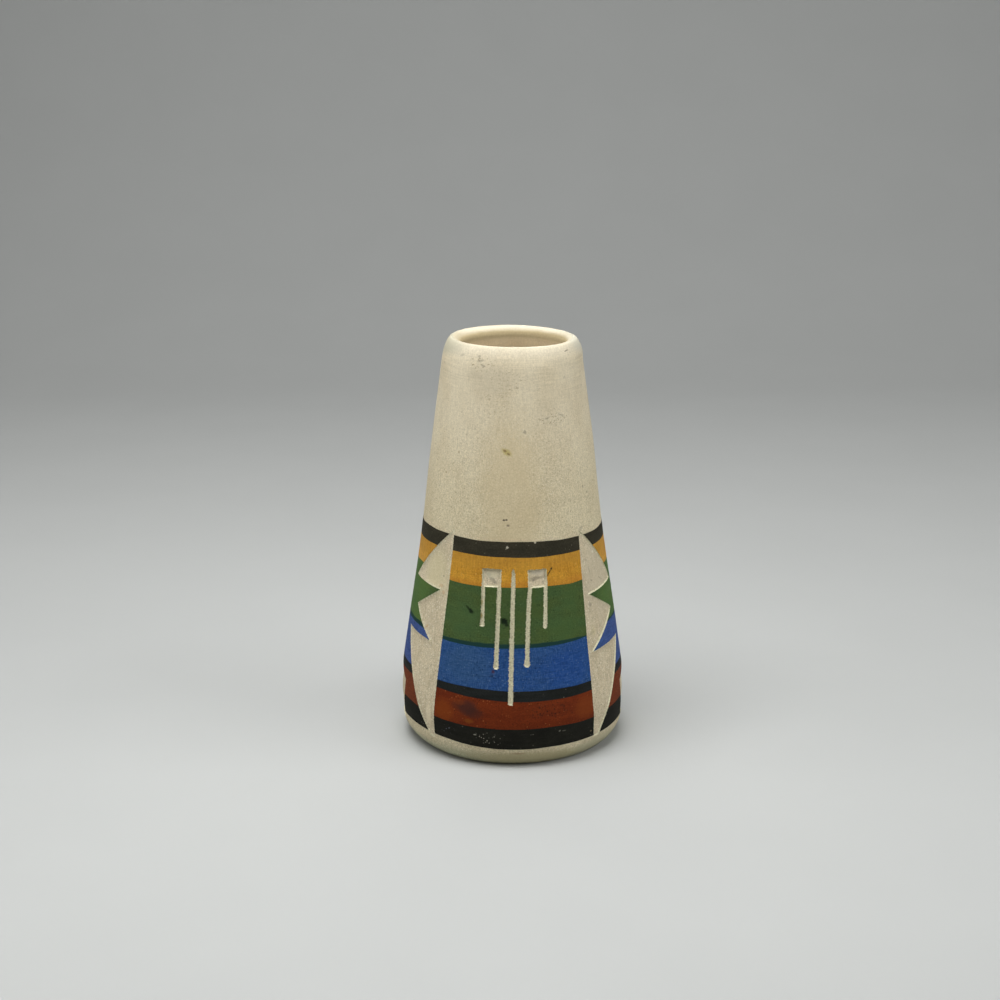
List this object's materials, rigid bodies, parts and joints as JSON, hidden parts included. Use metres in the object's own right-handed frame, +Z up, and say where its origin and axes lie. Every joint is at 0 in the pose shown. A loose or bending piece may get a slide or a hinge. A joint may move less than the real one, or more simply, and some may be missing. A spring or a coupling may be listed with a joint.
{
  "type": "pottery vase",
  "caption": "Tapering open-mouthed pottery vase with a rounded lip, flat base, painted bands and shallow carved ornament.",
  "frame": {"origin": "centre of the flat base, on the surface that the vase stands on", "axes": "+Z up along the vase's axis to the mouth, -Y towards the panel with the comb figure that faces the viewer, +X to that viewer's right"},
  "size_m": [0.0824, 0.084, 0.15],
  "materials": {
    "clay": "unglazed fired clay, matte and finely sandy",
    "black_paint": "brushed matte pottery paint",
    "red_paint": "brushed matte pottery paint",
    "blue_paint": "brushed matte pottery paint",
    "green_paint": "brushed matte pottery paint",
    "ochre_paint": "brushed matte pottery paint"
  },
  "bodies": {
    "root": {"vase_body": "clay", "front_lower_black": "black_paint", "front_red": "red_paint", "front_middle_black_1": "black_paint", "front_middle_black_2": "black_paint", "front_blue_1": "blue_paint", "front_blue_2": "blue_paint", "front_green_1": "green_paint", "front_green_2": "green_paint", "front_green_3": "green_paint", "front_green_4": "green_paint", "front_ochre": "ochre_paint", "front_upper_black": "black_paint", "right_lower_black_1": "black_paint", "right_lower_black_2": "black_paint", "right_red_1": "red_paint", "right_red_2": "red_paint", "right_middle_black": "black_paint", "right_blue": "blue_paint", "right_green": "green_paint", "right_ochre": "ochre_paint", "right_upper_black": "black_paint", "back_lower_black": "black_paint", "back_red": "red_paint", "back_middle_black_1": "black_paint", "back_middle_black_2": "black_paint", "back_blue_1": "blue_paint", "back_blue_2": "blue_paint", "back_green_1": "green_paint", "back_green_2": "green_paint", "back_green_3": "green_paint", "back_green_4": "green_paint", "back_ochre": "ochre_paint", "back_upper_black": "black_paint", "left_lower_black_1": "black_paint", "left_lower_black_2": "black_paint", "left_red_1": "red_paint", "left_red_2": "red_paint", "left_middle_black": "black_paint", "left_blue": "blue_paint", "left_green": "green_paint", "left_ochre": "ochre_paint", "left_upper_black": "black_paint"}
  },
  "joints": []
}
